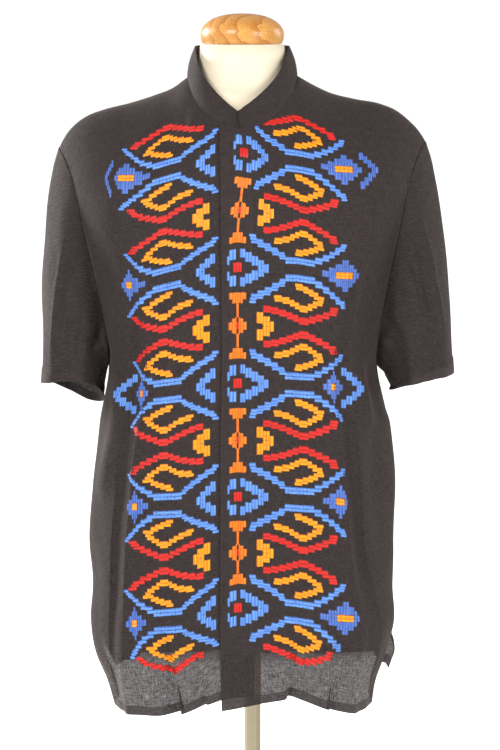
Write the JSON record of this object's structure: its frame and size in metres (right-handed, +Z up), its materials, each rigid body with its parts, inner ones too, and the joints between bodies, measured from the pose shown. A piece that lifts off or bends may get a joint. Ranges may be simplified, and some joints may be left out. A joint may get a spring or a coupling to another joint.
{
  "type": "embroidered short sleeve blouse on a limbless dress form with a pole stand",
  "caption": "Dark short sleeve blouse with a stand collar and an embroidered front, worn on a limbless dress form that stands on a pole and a round base.",
  "frame": {"origin": "centre of the base's underside, on the floor, under the pole's axis", "axes": "+Z up along the pole, -Y the way the blouse faces, +X the viewer's right (the wearer's left)"},
  "size_m": [0.483, 0.34, 1.314],
  "materials": {
    "navy_cotton": "matt plain weave with slubs",
    "cream_shell": "smooth satin",
    "varnished_wood": "clear gloss varnish",
    "chrome": "bright chrome plate"
  },
  "bodies": {
    "root": {"front_right": "navy_cotton", "front_left": "navy_cotton", "back": "navy_cotton", "collar": "navy_cotton", "sleeve_right": "navy_cotton", "sleeve_left": "navy_cotton", "form_torso": "cream_shell", "neck_cap": "varnished_wood", "pole": "chrome", "base": "chrome"}
  },
  "joints": []
}
